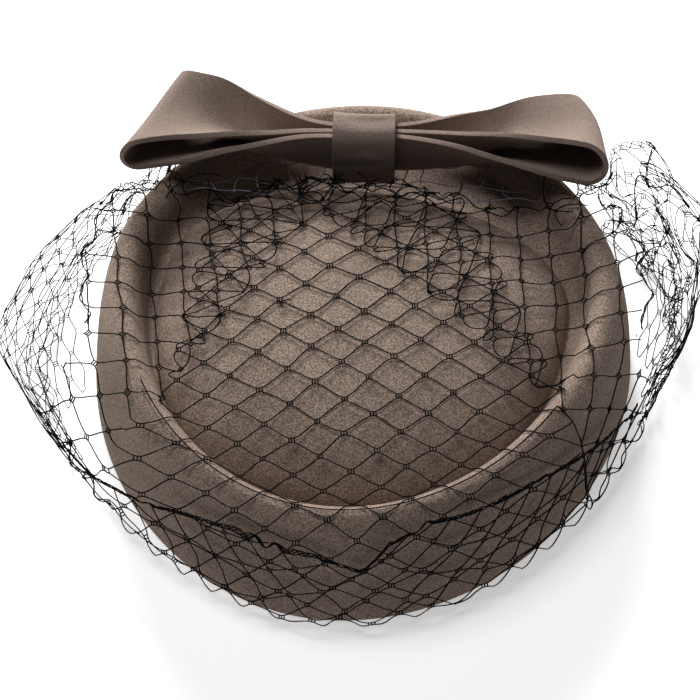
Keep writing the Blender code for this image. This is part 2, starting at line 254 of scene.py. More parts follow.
# The stage: soft lamps by their place, and a tone that deepens shadows as far as the photo's are
LAMPS = table("name place size power", (
    ("back", (-0.38, 1.26, 0.72), 0.5, 27.0), ("top", (-0.40, 0.10, 1.55), 0.9, 12.0),
))
ROOM_LIGHT = 0.04
EXPOSURE = 0.2
GAMMA = 0.85
FLOOR_HALF = 3
FLOOR_DROP = 0.0004
FLOOR_GLOW = 0.42

# The camera stands where the photo was taken from, in the hat's own directions from its middle
CAMERA_AZIMUTH = math.radians(10.17)
CAMERA_ELEVATION = math.radians(52.0)
CAMERA_DISTANCE = 0.850
CAMERA_TARGET = (-0.0021, -0.0188, 0.025)
CAMERA_LENS = 120.2
CAMERA_SENSOR = 36.0


def hat_middle():
    """Where the frame puts the point that the hat's outline is measured from."""
    low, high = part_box("hat_body")
    return np.array([(low.x + high.x) / 2, low.y + FRONT_LENGTH, 0.0])


def column(rows, name):
    """One column of a table as an array."""
    return np.array([row[name] for row in rows])


def between(rows, known, wanted, value):
    """The wanted column of a table where its known one has a value, straight between the rows."""
    return np.interp(value, column(rows, known), column(rows, wanted))


def smooth(value):
    """0 below 0, 1 above 1, and a soft S between."""
    t = np.clip(value, 0.0, 1.0)
    return t * t * (3.0 - 2.0 * t)


def superellipse(theta, half_width, front, back, fullness):
    """Radius at each angle of an outline with its own length before and behind its centre."""
    length = np.where(np.sin(theta) < 0.0, front, back)
    across, along = np.abs(np.cos(theta)) / half_width, np.abs(np.sin(theta)) / length
    return (across**fullness + along**fullness) ** (-1.0 / fullness)


def outline(theta):
    """The hat's outer edge in plan."""
    return superellipse(theta, HAT_WIDTH / 2, FRONT_LENGTH, BACK_LENGTH, OUTLINE_FULLNESS)


def dome_outline(theta):
    """The dome's foot in plan."""
    return superellipse(theta, DOME_WIDTH / 2, DOME_FRONT, DOME_BACK, DOME_FULLNESS)


def groove_height(theta):
    """The groove is deepest in front and shallowest behind."""
    front, back = np.clip(-np.sin(theta), 0, 1) ** 2, np.clip(np.sin(theta), 0, 1) ** 2
    return GROOVE_SIDE + (GROOVE_FRONT - GROOVE_SIDE) * front + (GROOVE_BACK - GROOVE_SIDE) * back


def dome_height(theta, share):
    """Height at a share of the way from the dome's middle to its foot: a superellipse arch."""
    foot = groove_height(theta)
    return foot + (DOME_HEIGHT - foot) * np.sqrt(1.0 - np.minimum(share, 1.0) ** DOME_BULGE)


def ring(theta, radius, height):
    """Points at angles: radius times cosine, radius times sine, height."""
    return np.stack([radius * np.cos(theta), radius * np.sin(theta), height + 0.0 * theta], axis=-1)


def hat_rings(theta):
    """The felt's outer face as rings of points, from the lower edge to the middle of the dome."""
    rings = [
        ring(theta, outline(theta) - row["inset"] * RIM_INSET, row["height"] * RIM_HEIGHT)
        for row in RIM_SECTION
    ]
    foot, fall = dome_outline(theta), RIM_SECTION[-1]["height"] * RIM_HEIGHT - groove_height(theta)
    start = outline(theta) - RIM_SECTION[-1]["inset"] * RIM_INSET
    for share in GROOVE_RINGS:
        height = groove_height(theta) + GROOVE_ROUND * fall * (1.0 - share) ** 2
        rings.append(ring(theta, start + (foot - start) * share, height))
    rings += [ring(theta, foot * share, dome_height(theta, share)) for share in DOME_RINGS]
    return np.array(rings)


def felt_height(x, y):
    """Height of the felt's upper face over a point."""
    theta, radius = np.arctan2(y, x), np.hypot(x, y)
    inset = (outline(theta) - radius) / RIM_INSET
    rim = RIM_HEIGHT * between(RIM_SECTION, "inset", "height", inset)
    share = radius / dome_outline(theta)
    inside = inset > RIM_SECTION[-1]["inset"]
    return np.where(share < 1.0, dome_height(theta, share), np.where(inside, groove_height(theta), rim))


def grid_faces(rows, length, closed):
    """Quads between rows of points. closed joins each row's end to its start."""
    i, j = np.meshgrid(np.arange(rows - 1), np.arange(length if closed else length - 1), indexing="ij")
    after = (j + 1) % length
    corners = (i * length + j, i * length + after, (i + 1) * length + after, (i + 1) * length + j)
    return np.stack(corners, axis=-1).reshape(-1, 4)


def add_object(name, data):
    """An object in the scene."""
    made = bpy.data.objects.new(name, data)
    bpy.context.scene.collection.objects.link(made)
    return made


def make_mesh(name, points, faces):
    """A mesh object from whole arrays: points and faces that all have as many corners."""
    mesh = bpy.data.meshes.new(name)
    mesh.vertices.add(len(points))
    mesh.vertices.foreach_set("co", np.ascontiguousarray(points, np.float32).ravel())
    mesh.loops.add(faces.size)
    mesh.loops.foreach_set("vertex_index", faces.astype(np.int32).ravel())
    mesh.polygons.add(len(faces))
    mesh.polygons.foreach_set("loop_start", np.arange(0, faces.size, faces.shape[1], dtype=np.int32))
    mesh.update(calc_edges=True)
    mesh.validate()
    mesh.shade_smooth()
    return add_object(name, mesh)


def read(rows, name, place):
    """A column of a table at an array of places, read as a smooth curve through its rows."""
    places, values = column(rows, "place"), column(rows, name)
    slopes = np.gradient(values, places)
    i = np.clip(np.searchsorted(places, place, side="right") - 1, 0, len(places) - 2)
    step = places[i + 1] - places[i]
    t = np.clip((place - places[i]) / step, 0.0, 1.0)
    from_row = (2.0 * t - 3.0) * t * t + 1.0
    value = from_row * values[i] + (1.0 - from_row) * values[i + 1]
    return value + t * (1.0 - t) ** 2 * step * slopes[i] + t * t * (t - 1.0) * step * slopes[i + 1]


def folded_section(leg, bend, tilt, share, points):
    """The strip's middle line across its width: how far back, how far up and its slope.

    The slope is the tilt plus a sine over the bend. Going back and up are the running sums of its
    cosine and sine. Each row of the arrays is one place along the loop, and share is the part of the
    strip's width that is left there, measured from its front edge.
    """
    width = (np.linspace(0.0, 1.0, points)[None, :] * share[:, None] - 0.5) * STRIP_WIDTH
    turn = np.clip(width / (bend[:, None] * STRIP_WIDTH / 2), -1, 1)
    slope = tilt[:, None] + leg[:, None] * np.sin(math.pi / 2 * turn)
    middle, step = (slope[:, 1:] + slope[:, :-1]) / 2, share[:, None] * STRIP_WIDTH / (points - 1)
    start = np.zeros((len(leg), 1))
    back = np.concatenate([start, np.cumsum(np.cos(middle) * step, axis=1)], axis=1)
    up = np.concatenate([start, np.cumsum(np.sin(middle) * step, axis=1)], axis=1)
    return back, up, slope


def strip_rows(loop, place, layer, felt, points=57):
    """Points across the strip at places along a loop. layer goes from 1, above, to -1, below."""
    leg, bend = np.radians(read(LOOP_SECTIONS, "leg", place)), read(LOOP_SECTIONS, "bend", place)
    tilt = math.radians(loop["tilt"]) * smooth(place / TILT_PLACE)
    # Near the knot the lower layer stays in front of the upper one's back edge.
    near_knot = 1.0 - smooth((place - LOWER_SHORT_FROM) / LOWER_SHORT_OVER)
    width = read(LOOP_SECTIONS, "width", place) - LOWER_SHORT * (1.0 - layer) / 2 * near_knot
    back, up, slope = folded_section(leg, bend, tilt, width, points)
    knot, one = LOOP_SECTIONS[0], np.ones(1)
    at_knot = folded_section(np.radians(one * knot["leg"]), one * knot["bend"], 0.0 * one, one, points)
    depth = at_knot[0][0, -1]
    share = np.linspace(0.0, 1.0, points)[None, :]
    closed = felt + PINCH_GAP
    opening = loop["opening"] + (loop["back"] - loop["opening"]) * share
    # The two layers part further out at the back than at the front.
    late = loop["late"] * (1.0 + BACK_LATE * share)
    parted = np.maximum(read(LOOP_SECTIONS, "open", place), 0.0)[:, None] ** late
    apart = layer[:, None] / 2 * (closed + (opening - closed) * parted)
    y = back - depth / 2 - read(LOOP_SECTIONS, "forward", place)[:, None] * STRIP_WIDTH
    rise = read(LOOP_SECTIONS, "rise", place) - loop["sag"] * smooth(place / TILT_PLACE)
    z = up + BOW_TOP + rise[:, None] * STRIP_WIDTH
    inwards = (loop["taper"] * share + loop["round"] * share**5) * smooth(place)[:, None]
    x = loop["side"] * place[:, None] * loop["length"] * (1.0 - inwards)
    return np.stack([x, y - np.sin(slope) * apart, z + np.cos(slope) * apart], axis=-1)


def loop_rows(loop, felt, flat_steps=48, nose_steps=15):
    """The strip along one loop: out above, round the loop's end in a half turn and back below."""
    nose = loop["opening"] / 2 / loop["length"]
    flat = np.linspace(0.0, 1.0 - nose, flat_steps)[:-1]
    turn = np.linspace(0.0, math.pi, nose_steps)
    place = np.concatenate([flat, 1.0 - nose + nose * np.sin(turn), flat[::-1]])
    layer = np.concatenate([np.ones(len(flat)), np.cos(turn), -np.ones(len(flat))])
    return strip_rows(loop, place, layer, felt)


def bow_to_hat(points):
    """From the bow's own place to where it sits on the hat, turned and set off the middle line."""
    x, y, z = points[..., 0], points[..., 1], points[..., 2]
    cosine, sine = math.cos(BOW_TURN), math.sin(BOW_TURN)
    across, back = BOW_OFFSET + cosine * x - sine * y, BOW_BACK + sine * x + cosine * y
    return np.stack([across, back, z], axis=-1)


def wander(x, y, scale, seed):
    """A smooth irregular value near -1 to 1: a sum of five sines in turned directions, over 3."""
    total = 0.0 * x
    for k in range(5):
        turn = seed * 1.7 + k * 2.399
        wave = (1.0 + 0.31 * k) * 2 * math.pi / scale
        total = total + np.sin(wave * (x * math.cos(turn) + y * math.sin(turn)) + seed * 3.1 + k * 1.9)
    return total / 3.0


def linear(code):
    """The linear values that shaders take for an sRGB colour in hex."""
    values = np.array([int(code[i : i + 2], 16) for i in (0, 2, 4)]) / 255
    values = np.where(values <= 0.04045, values / 12.92, ((values + 0.055) / 1.055) ** 2.4)
    return tuple(values.tolist())


def fill(made, inputs):
    """Gives a node its inputs: as values, or as another node's outputs, which are linked."""
    for name, value in inputs.items():
        if isinstance(value, bpy.types.NodeSocket):
            made.id_data.links.new(value, made.inputs[name])
        else:
            made.inputs[name].default_value = value
    return made


def node(tree, kind, inputs=None, **settings):
    """A shader node with its settings and its inputs."""
    made = tree.nodes.new(kind)
    for name, value in settings.items():
        setattr(made, name, value)
    return fill(made, inputs or {})


def new_material(name):
    """A material and its main shader."""
    made = bpy.data.materials.new(name)
    made.use_nodes = True
    return made, made.node_tree.nodes["Principled BSDF"]


def felt_material(name, dark, light, strength):
    """Blocked wool felt, brushed and sized: matt, with matted fibres that show as a fine mottle."""
    made, shader = new_material(name)
    tree = made.node_tree
    place = node(tree, "ShaderNodeTexCoord").outputs["Object"]
    # Fibres matted in clumps of under a millimetre give the speckle.
    clumps = node(
        tree, "ShaderNodeTexNoise", {"Vector": place, "Scale": 1500.0, "Detail": 3.0, "Roughness": 0.6}
    )
    # Single fibres, a third of a millimetre apart, give the grain.
    fibres = node(
        tree, "ShaderNodeTexNoise", {"Vector": place, "Scale": 3200.0, "Detail": 3.0, "Roughness": 0.7}
    )
    # Pressing and steaming leave faint lighter and darker areas a few centimetres wide.
    pressed = node(
        tree, "ShaderNodeTexNoise", {"Vector": place, "Scale": 38.0, "Detail": 2.0, "Roughness": 0.5}
    )
    both = {0: clumps.outputs["Fac"], 1: fibres.outputs["Fac"]}
    speckle = node(tree, "ShaderNodeMath", both, operation="ADD").outputs[0]
    spread = node(tree, "ShaderNodeMapRange", {"Value": speckle, "From Min": 0.85, "From Max": 1.15})
    ends = {"Factor": spread.outputs[0], "A": (*dark, 1.0), "B": (*light, 1.0)}
    mixed = node(tree, "ShaderNodeMix", ends, data_type="RGBA")
    reach = {"From Min": 0.3, "From Max": 0.7, "To Min": 0.93, "To Max": 1.07}
    areas = node(tree, "ShaderNodeMapRange", {"Value": pressed.outputs["Fac"], **reach})
    scaled = {0: mixed.outputs["Result"], "Scale": areas.outputs[0]}
    shaded = node(tree, "ShaderNodeVectorMath", scaled, operation="SCALE")
    height = {"Strength": strength, "Distance": 0.0004, "Height": speckle}
    raised = node(tree, "ShaderNodeBump", height)
    fill(shader, {
        "Base Color": shaded.outputs[0],
        "Normal": raised.outputs["Normal"],
        "Roughness": 0.96,
        "Specular IOR Level": 0.2,
        # Loose fibre ends stand off the surface and catch light at its edges.
        "Sheen Weight": 0.25,
        "Sheen Roughness": 0.55,
        "Sheen Tint": (*light, 1.0),
    })
    return made


def net_material(name, colour):
    """Dyed cotton thread, matt: nearly black, or painted lighter in the copy whose colour is a painted
    highlight on the gathered edge.
    """
    made, shader = new_material(name)
    fill(shader, {"Base Color": (*colour, 1.0), "Roughness": 0.75, "Specular IOR Level": 0.12})
    return made


def felt_thickness(piece, thickness, offset, edge):
    """Felt of one thickness, its cut edges a little rounded."""
    wall = piece.modifiers.new("felt", "SOLIDIFY")
    wall.thickness = thickness
    wall.offset = offset
    rounding = piece.modifiers.new("edge", "BEVEL")
    rounding.width = edge
    rounding.segments = 3
    rounding.limit_method = "ANGLE"
    rounding.angle_limit = math.radians(50)


def make_felt_body(sizes, colours):
    """The hat: rings of points round it, closed by a fan in the middle, as thick as its felt."""
    theta = np.linspace(0.0, 2.0 * math.pi, FELT_COLUMNS, endpoint=False)
    rings = hat_rings(theta)
    # Hand blocking leaves the felt uneven by a fraction of a millimetre.
    uneven = wander(rings[..., 0], rings[..., 1], 0.09, 2.0)[..., None]
    inward = smooth(rings[..., 2:] / 0.02)
    rings = rings + uneven * inward * np.array([0.0, 0.0, sizes.unevenness])
    points = np.concatenate([rings.reshape(-1, 3), [[0.0, 0.0, rings[-1, :, 2].mean()]]])
    faces = grid_faces(len(rings), len(theta), True)
    middle = np.full(len(theta), len(points) - 1)
    last = (len(rings) - 1) * len(theta) + np.arange(len(theta))
    cap = np.stack([last, np.roll(last, -1), middle], axis=-1)
    mesh = bpy.data.meshes.new("felt_body")
    mesh.from_pydata((points + hat_middle()).tolist(), [], faces.tolist() + cap.tolist())
    mesh.shade_smooth()
    piece = add_object("felt_body", mesh)
    felt_thickness(piece, sizes.hat_felt, -1.0, 0.0005)
    fine = piece.modifiers.new("fine", "SUBSURF")
    fine.levels = fine.render_levels = 1
    finish = felt_material("wool_felt_hat", colours.hat_dark, colours.hat_light, 0.9)
    piece.data.materials.append(finish)
    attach(piece, "root")
    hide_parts("hat_body")
    return piece


def make_bow_loops(sizes, colours):
    """The strip as one ring: out along the left loop and back, then the same along the right one."""
    left, right = loop_rows(LEFT_LOOP, sizes.bow_felt), loop_rows(RIGHT_LOOP, sizes.bow_felt)
    rows = np.concatenate([left, right[::-1][1:-1]])
    rows[..., 2] += LOOP_WAVE * wander(rows[..., 0], rows[..., 1], 0.05, 5.0)
    points = bow_to_hat(rows) + hat_middle()
    closed = np.concatenate([points, points[:1]])
    faces = grid_faces(len(closed), points.shape[1], False) % (points.shape[0] * points.shape[1])
    piece = make_mesh("bow_loops", points.reshape(-1, 3), faces)
    felt_thickness(piece, sizes.bow_felt, 0.0, 0.0004)
    finish = felt_material("wool_felt_bow", colours.bow_dark, colours.bow_light, 0.8)
    piece.data.materials.append(finish)
    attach(piece, "root")
    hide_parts("bow_strip")
    return piece


def make_bow_band(sizes):
    """The band round the knot: a superellipse ring round the folded section, a little waisted."""
    ends = np.zeros(1)
    below = strip_rows(RIGHT_LOOP, ends, -np.ones(1), sizes.bow_felt)[0]
    reach = sizes.bow_felt / 2 + KNOT_SLACK + sizes.bow_felt / 2
    corner = 2.0 ** (1.0 / KNOT_SQUARENESS)
    low, high = below[:, 2].min(), BOW_TOP
    half_depth = (np.abs(below[:, 1]).max() + reach) * corner
    half_height = ((high - low) / 2 + reach) * (3.0 + corner) / 4
    theta = np.linspace(0.0, 2.0 * math.pi, KNOT_COLUMNS, endpoint=False)[None, :]
    across = np.linspace(-1.0, 1.0, KNOT_ROWS)[:, None]
    radius = superellipse(theta, half_depth, half_height, half_height, KNOT_SQUARENESS)
    radius = radius * (1.0 + KNOT_FLARE * across**2)
    radius = radius + KNOT_WAVE * wander(across * 0.01, theta * 0.02, 0.03, 8.0)
    y, z = radius * np.cos(theta), (high + low) / 2 + radius * np.sin(theta)
    # Behind, the band closes in towards its top, over the shorter lower layer.
    raised = np.clip(np.sin(theta) * radius / half_height, 0.0, 1.0) ** 2
    y = np.where(y > 0.0, y * (1.0 - KNOT_BACK_TAPER * raised), y)
    rows = np.stack([across * KNOT_WIDTH / 2 + 0.0 * theta, y, z], axis=-1)
    points = bow_to_hat(rows) + hat_middle()
    piece = make_mesh("bow_band", points.reshape(-1, 3), grid_faces(KNOT_ROWS, KNOT_COLUMNS, True))
    felt_thickness(piece, sizes.bow_felt, 0.0, 0.0005)
    piece.data.materials.append(bpy.data.materials["wool_felt_bow"])
    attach(piece, "root")
    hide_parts("bow_knot")
    return piece


def spanned(along, height):
    """The lowest line over a path that sags nowhere: the upper envelope of its chords."""
    over = height.copy()
    steps = along.shape[1]
    for i in range(steps - 2):
        for j in range(i + 2, steps):
            inner = slice(i + 1, j)
            share = (along[:, inner] - along[:, i, None]) / (along[:, j, None] - along[:, i, None])
            chord = height[:, i, None] + (height[:, j] - height[:, i])[:, None] * share
            over[:, inner] = np.maximum(over[:, inner], chord)
    return over


def by_angle(rows, name, angle):
    """A column of a table read at angles, straight between its rows, whose angles are in degrees."""
    return np.interp(angle, np.radians(column(rows, "angle")), column(rows, name))


def reflected(points, start, angle):
    """Mirrored across the line from start at an angle: twice the part along it, less the point."""
    along = np.array([math.cos(angle), math.sin(angle)])
    away = points - start
    return start + 2.0 * (away @ along)[..., None] * along - away


def beyond(points, start, angle, side):
    """How far points lie past a line from start at an angle: to its left for side 1, else its right."""
    along = np.array([math.cos(angle), math.sin(angle)])
    away = points - start
    return side * (along[0] * away[..., 1] - along[1] * away[..., 0])


def rounded(past, width):
    """How far a fold's roundness pulls cloth in from its line: a parabola that ends a width away."""
    return np.maximum(width - np.abs(past), 0.0) ** 2 / (2.0 * width)


def fold_dart(points, lift, dart, sizes):
    """Folds flat cloth in a dart: mirrored across the outer line, then back again across the inner one.

    Both lines start at the apex, so the cloth past the dart is turned by twice the angle between them.
    """
    apex, side = np.array(dart["apex"]), dart["side"]
    outer, inner = math.radians(dart["outer"]), math.radians(dart["inner"])
    width, layer = sizes.fold_round, sizes.layer_gap
    first = beyond(points, apex, outer, side)
    once = np.where((first > 0.0)[..., None], reflected(points, apex, outer), points)
    second = np.where(first > 0.0, beyond(once, apex, inner, -side), -1.0)
    twice = np.where((second > 0.0)[..., None], reflected(once, apex, inner), once)
    fade = smooth(np.linalg.norm(points - apex, axis=-1) / DART_FADE)
    inward = side * np.array([math.sin(outer), -math.cos(outer)])
    near_outer = np.where(second > 0.0, 0.0, rounded(first, width)) * fade
    near_inner = np.where(first > 0.0, rounded(second, width), 0.0) * fade
    back = -side * np.array([math.sin(inner), -math.cos(inner)])
    folded = twice + near_outer[..., None] * inward + near_inner[..., None] * back
    layers = smooth((first + width) / (2 * width))
    layers = layers + smooth((second + width) / (2 * width)) * (first > 0.0)
    settled = 1.0 - smooth(beyond(folded, apex, outer, side) / DART_SETTLE) * (second > 0.0)
    return folded, lift + layer * layers * fade * settled


def unfold_rim(azimuth):
    """The rim's crest as it lies on the flat net: each side is turned about its dart's apex.

    The turn is twice the dart's angle, made by mirroring across its inner and then its outer line.
    """
    theta = azimuth - math.pi / 2
    crest = ring(theta, outline(theta) - RIM_INSET, 0.0)[..., :2]
    for dart in (LEFT_DART, RIGHT_DART):
        apex = np.array(dart["apex"])
        start = math.atan2(apex[0], -apex[1])
        turned = reflected(crest, apex, math.radians(dart["inner"]))
        turned = reflected(turned, apex, math.radians(dart["outer"]))
        past = (azimuth < start) if dart["side"] > 0 else (azimuth > start)
        crest = np.where(past[..., None], turned, crest)
    return crest


def hang_direction(azimuth):
    """Where the flat net's lines run that hang down the wall: a fan, by azimuth from the front."""
    turn = np.radians(between(HANG, "azimuth", "turn", np.degrees(azimuth)))
    return np.stack([np.sin(turn), -np.cos(turn)], axis=-1)


def hang(points):
    """For flat places, the azimuth of the hanging line through each and its way along it past the rim.

    The azimuth is found by halving its range: the place lies to the line's left or to its right.
    """
    low = np.full(points.shape[:-1], -LEFT_SPREAD)
    high = np.full(points.shape[:-1], RIGHT_SPREAD)
    for _ in range(26):
        middle = (low + high) / 2
        away, down = points - unfold_rim(middle), hang_direction(middle)
        right = down[..., 0] * away[..., 1] - down[..., 1] * away[..., 0] > 0.0
        low, high = np.where(right, middle, low), np.where(right, high, middle)
    past = ((points - unfold_rim(low)) * hang_direction(low)).sum(axis=-1)
    return (low + high) / 2, past


def top_height(sizes, steps=70):
    """The net's height over the top, by azimuth and share of the way to the crest, over the groove."""
    azimuth = np.linspace(-math.pi, math.pi, 241)
    theta = azimuth[:, None] - math.pi / 2
    share = np.linspace(0.0, 1.0, steps)[None, :]
    run = share * (outline(theta) - RIM_INSET)
    felt = felt_height(run * np.cos(theta), run * np.sin(theta))
    return azimuth, np.maximum(felt, spanned(run, felt) - sizes.veil_dip)


def blended(grid, i, j):
    """A grid's values between its rows and columns."""
    i, j = np.clip(i, 0, grid.shape[0] - 1.001), np.clip(j, 0, grid.shape[1] - 1.001)
    low_i, low_j = i.astype(int), j.astype(int)
    a, b = i - low_i, j - low_j
    if grid.ndim > 2:
        a, b = a[..., None], b[..., None]
    near = grid[low_i, low_j] * (1 - b) + grid[low_i, low_j + 1] * b
    far = grid[low_i + 1, low_j] * (1 - b) + grid[low_i + 1, low_j + 1] * b
    return near * (1 - a) + far * a


def wall_paths(azimuth, sizes):
    """Lines from the rim's crest down the wall to the hem, and up again outside to the selvedge.

    The puffs stand out by a sine over the way down. The fold at the hem is rounded by half a sine.
    """
    theta = azimuth[:, None] - math.pi / 2
    edge = outline(theta)
    down = np.linspace(0.0, 1.0, WALL_STEPS)[None, :]
    section = RIM_SECTION[CREST_ROW::-1]
    rows = np.linspace(0.0, 1.0, len(section))
    inset = np.interp(down, rows, column(section, "inset")) * RIM_INSET
    height = np.interp(down, rows, column(section, "height")) * (RIM_HEIGHT - HEM_HEIGHT) + HEM_HEIGHT
    left = by_angle(LEFT_PUFFS, "out", -azimuth)[:, None] * LEFT_PUFF
    right = by_angle(RIGHT_PUFFS, "out", azimuth)[:, None] * RIGHT_PUFF
    puff = np.where(azimuth[:, None] < 0.0, left, right)
    radius = edge - inset + HEM_OUT * down + puff * (np.sin(math.pi * down**1.2) + HEM_PUFF * down**2)
    raised = right / RIGHT_PUFF * (azimuth[:, None] > 0.0)
    height = height + raised * RIGHT_PUFF_RISE * np.sin(math.pi * down) ** 2
    radius, height = radius + sizes.net_lift, height + sizes.net_lift * (1.0 - down)
    up = np.linspace(0.0, 1.0, FOLD_STEPS)[None, 1:]
    reach = by_angle(SELVEDGE, "height", azimuth)[:, None]
    bottom, hem = height[:, -1:], radius[:, -1:]
    low_again = bottom + (reach - bottom) * up - HEM_ROUND * np.sin(math.pi * np.minimum(up * 6.0, 1.0))
    wall = RIM_SECTION[: CREST_ROW + 1]
    inset_again = np.interp(low_again, column(wall, "height") * RIM_HEIGHT, column(wall, "inset"))
    stand = edge - inset_again * RIM_INSET + OUTER_GAP + OUTER_PUFF * puff
    out_again = hem + (stand - hem) * smooth(up * 3.0)
    out_again = out_again + HEM_ROUND * np.sin(math.pi * np.minimum(up * 3.0, 1.0))
    radius = np.concatenate([radius, out_again], axis=1)
    height = np.concatenate([height, np.maximum(low_again, OUTER_LOW)], axis=1)
    return ring(theta + 0.0 * radius, radius, height)


def rim_reach(azimuth):
    """How far past the rim's crest the net on top reaches at the loose sides."""
    return RIM_REACH + RIM_STRAY * wander(azimuth * WING_RADIUS, 0.0 * azimuth, 0.03, 6.0)


class Veil:
    """The net's way from its flat cloth to its place on the hat."""

    def __init__(self, sizes):
        self.sizes = sizes
        self.top_azimuth, self.top = top_height(sizes)
        self.azimuth = np.linspace(-LEFT_END, RIGHT_SPREAD, WALL_COLUMNS)
        path = wall_paths(self.azimuth, sizes)
        steps = np.linalg.norm(np.diff(path, axis=1), axis=-1)
        run = np.concatenate([np.zeros((len(path), 1)), np.cumsum(steps, axis=1)], axis=1)
        self.length = run[:, -1]
        down = np.arange(0.0, self.length.max() + WALL_STEP, WALL_STEP)
        self.wall = np.empty((len(path), len(down), 3))
        for i in range(len(path)):
            for k in range(3):
                self.wall[i, :, k] = np.interp(down, run[i], path[i, :, k])

    def wall_place(self, azimuth, past):
        """Points on the wall for azimuths and ways down from the crest."""
        i = (azimuth - self.azimuth[0]) / (self.azimuth[1] - self.azimuth[0])
        return blended(self.wall, i, past / WALL_STEP)

    def top_place(self, plan, lift):
        """Points over the top for places in plan and their lift over the net's own height."""
        theta = np.arctan2(plan[..., 1], plan[..., 0])
        azimuth = np.arctan2(plan[..., 0], -plan[..., 1])
        share = np.hypot(plan[..., 0], plan[..., 1]) / (outline(theta) - RIM_INSET)
        i = (azimuth - self.top_azimuth[0]) / (self.top_azimuth[1] - self.top_azimuth[0])
        height = blended(self.top, i, share * (self.top.shape[1] - 1))
        # In front of the bow the net follows the dome down into the groove.
        down = smooth((to_bow(plan)[1] - GROOVE_DIP["start"]) / GROOVE_DIP["over"])
        down = down * smooth((GROOVE_DIP["half_width"] - np.abs(plan[..., 0])) / GROOVE_DIP["fade"])
        felt = felt_height(plan[..., 0], plan[..., 1])
        height = np.maximum(height - GROOVE_DIP["depth"] * down, felt)
        return np.concatenate([plan, (height + lift)[..., None]], axis=-1)

    def place(self, flat):
        """Points in the hat's own directions for flat places, and which of them the net covers."""
        azimuth, past = hang(flat)
        lift = np.full(flat.shape[:-1], self.sizes.net_lift)
        plan, side_lift = fold_dart(flat, lift, LEFT_DART, self.sizes)
        plan_right, right_lift = fold_dart(flat, lift, RIGHT_DART, self.sizes)
        apex, outer = np.array(RIGHT_DART["apex"]), math.radians(RIGHT_DART["outer"])
        right = beyond(flat, apex, outer, -1.0) > -DART_NEAR
        plan = np.where(right[..., None], plan_right, plan)
        lift = np.where(right, right_lift, side_lift)
        back = to_bow(plan)[1]
        rise = smooth(1.0 + (back + GATHER_BACK) / RUFFLE["reach"])
        ruffle = wander(flat[..., 0], flat[..., 1], 0.026, 5.0)
        crinkle = wander(flat[..., 1], flat[..., 0], 0.022, 8.0)
        plan = plan + (np.stack([crinkle, ruffle], axis=-1) * rise[..., None]) * RUFFLE["stray"]
        lift = lift + rise * (RUFFLE["lift"] + RUFFLE["wave"] * ruffle)
        on_top = self.top_place(plan, lift)
        on_wall = self.wall_place(azimuth, np.maximum(past, 0.0))
        left_start, right_start = LEFT_WING["start"] + WING_LATE, RIGHT_WING["start"]
        loose = (azimuth < -math.radians(left_start)) | (azimuth > math.radians(right_start))
        limit = np.where(loose, rim_reach(azimuth), np.interp(azimuth, self.azimuth, self.length))
        radius = np.hypot(plan[..., 0], plan[..., 1])
        rim = outline(np.arctan2(plan[..., 1], plan[..., 0])) - RIM_INSET
        outside = radius > rim
        behind = np.arctan2(plan[..., 0], -plan[..., 1]) < -LEFT_SPREAD - BEHIND_TURN
        covered_top = ~outside & (back < -GATHER_BACK) & ~(behind & (radius > BEHIND_SHARE * rim))
        ends = (azimuth > -LEFT_SPREAD + 1e-4) & (azimuth < RIGHT_SPREAD - 1e-4)
        covered_wall = outside & (past < limit) & ends
        points = np.where(outside[..., None], on_wall, on_top)
        return points, covered_top | covered_wall

    def wing_place(self, wing, along, down):
        """Points of a loose side for ways along the hat's edge and down, and which of them it covers.

        The crumples push the cloth outwards, along and up by wandering values, more towards the bow.
        """
        azimuth = math.radians(wing["start"]) + along / WING_RADIUS
        share = (np.degrees(azimuth) - wing["start"]) / (wing["end"] - wing["start"])
        azimuth = wing["side"] * azimuth
        points = self.wall_place(azimuth, down)
        outward = points / np.maximum(np.hypot(points[..., 0], points[..., 1]), 1e-6)[..., None]
        outward[..., 2] = 0.0
        around = np.stack([-outward[..., 1], outward[..., 0], 0.0 * down], axis=-1)
        loose = smooth((share - wing["calm"]) / (1.0 - wing["calm"]))
        loose = CALM_SHARE + (1.0 - CALM_SHARE) * loose
        top = wing["top"] * (1.0 - WING_CLIMB * smooth((share - CLIMB_FROM) / CLIMB_OVER))
        loose = wing["crumple"] * loose * smooth((down - top) / CRUMPLE_OVER)
        out, across, up = (wander(along, down, scale, seed) for scale, seed in CRUMPLES)
        points = points + (loose * (CRUMPLE_OUT * out - CRUMPLE_IN))[..., None] * outward
        points = points + (loose * across)[..., None] * around
        points[..., 2] = np.maximum(points[..., 2] + loose * up * CRUMPLE_UP, NET_CLEAR)
        limit = np.interp(azimuth, self.azimuth, self.length)
        return points, (share > 0.0) & (share < WING_LAST) & (down > top) & (down < limit)


def to_bow(plan):
    """Across and back from the bow's middle, in the bow's own turned directions."""
    x, y = plan[..., 0] - BOW_OFFSET, plan[..., 1] - BOW_BACK
    cosine, sine = math.cos(BOW_TURN), math.sin(BOW_TURN)
    return cosine * x + sine * y, cosine * y - sine * x


def net_place(sizes, cross, down):
    """Flat places for places in the net's own turned rows, whose cells stray by under a millimetre."""
    cosine, sine = math.cos(sizes.net_turn), math.sin(sizes.net_turn)
    x = NET_START[0] + cosine * cross + sine * down
    y = NET_START[1] + sine * cross - cosine * down
    stray_x, stray_y = wander(x, y, 0.045, 9.0), wander(y, x, 0.05, 12.0)
    return np.stack([x + sizes.net_slack * stray_x, y + sizes.net_slack * stray_y], axis=-1)


